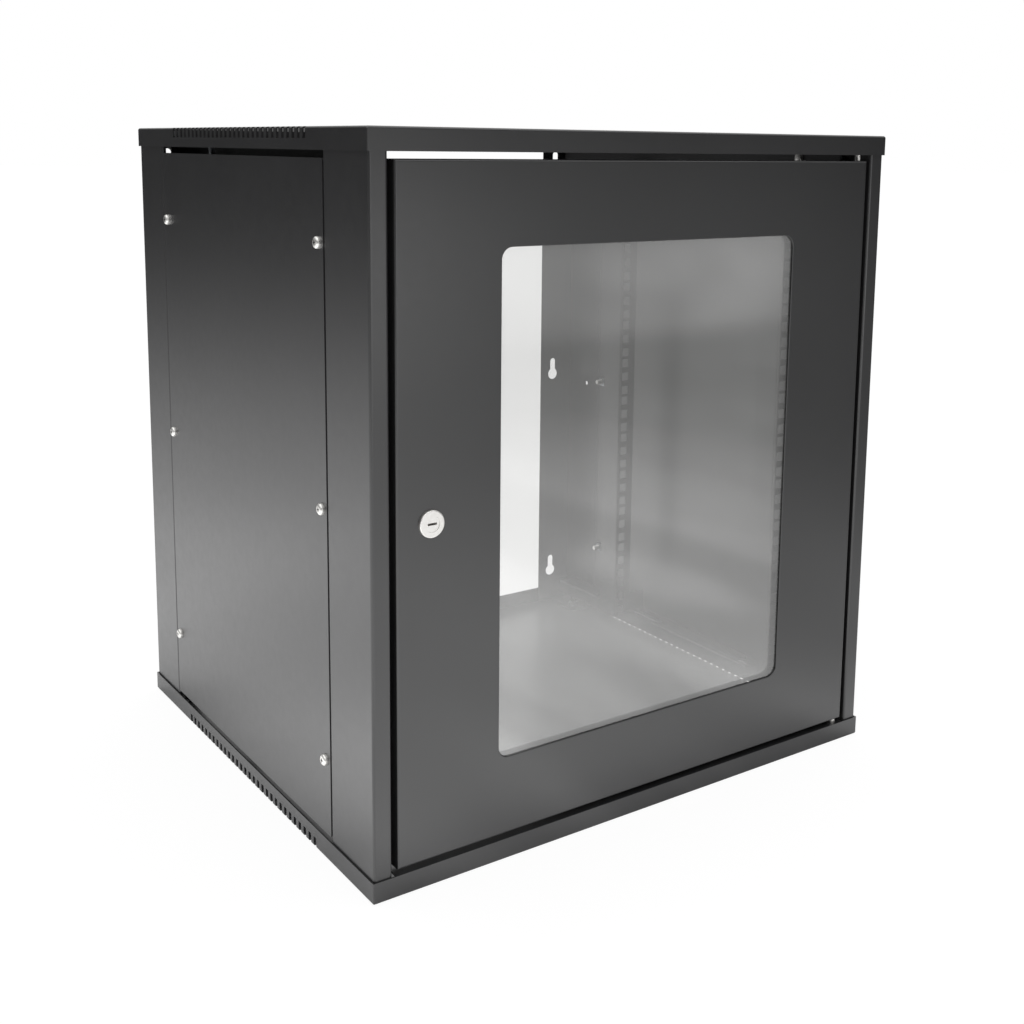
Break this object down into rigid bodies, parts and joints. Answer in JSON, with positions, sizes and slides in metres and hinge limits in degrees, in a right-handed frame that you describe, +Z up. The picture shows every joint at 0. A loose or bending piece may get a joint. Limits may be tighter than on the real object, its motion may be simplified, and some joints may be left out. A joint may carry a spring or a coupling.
{
  "type": "wall mount network cabinet",
  "caption": "Black sheet steel wall cabinet for 19 inch network equipment, with a hinged window door, cam lock, screwed side panels, square-hole rack rails and an open keyhole back.",
  "frame": {"origin": "middle of the underside of the bottom tray", "axes": "+X to the right seen from the door side, -Y towards the door, +Z up"},
  "size_m": [0.5538, 0.501, 0.6],
  "materials": {
    "case_paint": "satin black powder coat on sheet steel",
    "nickel_steel": "bright nickel plate",
    "zinc_steel": "bright zinc plate",
    "black_rubber": "matt black rubber and foam",
    "clear_pane": "clear toughened pane"
  },
  "bodies": {
    "cabinet": {"top_tray": "case_paint", "bottom_tray": "case_paint", "front_left_post": "case_paint", "front_right_post": "case_paint", "rear_left_post": "case_paint", "rear_right_post": "case_paint", "left_side_panel": "case_paint", "right_side_panel": "case_paint", "left_panel_screws": "nickel_steel", "right_panel_screws": "nickel_steel", "left_panel_nuts": "zinc_steel", "right_panel_nuts": "zinc_steel", "lower_left_bracket": "case_paint", "lower_right_bracket": "case_paint", "upper_left_bracket": "case_paint", "upper_right_bracket": "case_paint", "bracket_nuts": "zinc_steel", "bottom_post_nuts": "zinc_steel", "top_post_nuts": "zinc_steel", "front_left_rail": "case_paint", "front_right_rail": "case_paint", "rear_left_rail": "case_paint", "rear_right_rail": "case_paint", "lower_rail_bolts": "zinc_steel", "upper_rail_bolts": "zinc_steel", "lower_rail_nuts": "zinc_steel", "upper_rail_nuts": "zinc_steel", "bottom_cable_grommet": "black_rubber", "top_cable_grommet": "black_rubber", "door_bumpers": "black_rubber"},
    "door": {"door_frame": "case_paint", "window_pane": "clear_pane", "window_tape": "black_rubber", "window_clips": "zinc_steel", "window_clip_nuts": "zinc_steel", "lower_hinge_bracket": "zinc_steel", "upper_hinge_bracket": "zinc_steel", "lower_hinge_pin": "nickel_steel", "hinge_spring": "zinc_steel", "lock_barrel": "nickel_steel", "lock_nut": "zinc_steel"},
    "hinge_pin": {"upper_hinge_pin": "nickel_steel"},
    "lock": {"lock_plug": "nickel_steel", "lock_cam": "zinc_steel", "cam_screw": "zinc_steel"}
  },
  "joints": [
    {"name": "door_swing", "type": "hinge", "parent": "cabinet", "child": "door", "pos_m": [0.246, -0.2423, 0.2993], "axis": [0, 0, 1], "range_deg": [0, 115]},
    {"name": "hinge_pin_draw", "type": "slide", "parent": "door", "child": "hinge_pin", "axis": [0, 0, -1], "range_m": [0, 0.009], "stiffness_N_per_m": 450, "springref_m": -0.006, "deforming": ["hinge_spring"]},
    {"name": "lock_turn", "type": "hinge", "parent": "door", "child": "lock", "pos_m": [-0.222, -0.24, 0.2993], "axis": [0, 1, 0], "range_deg": [0, 90]}
  ]
}
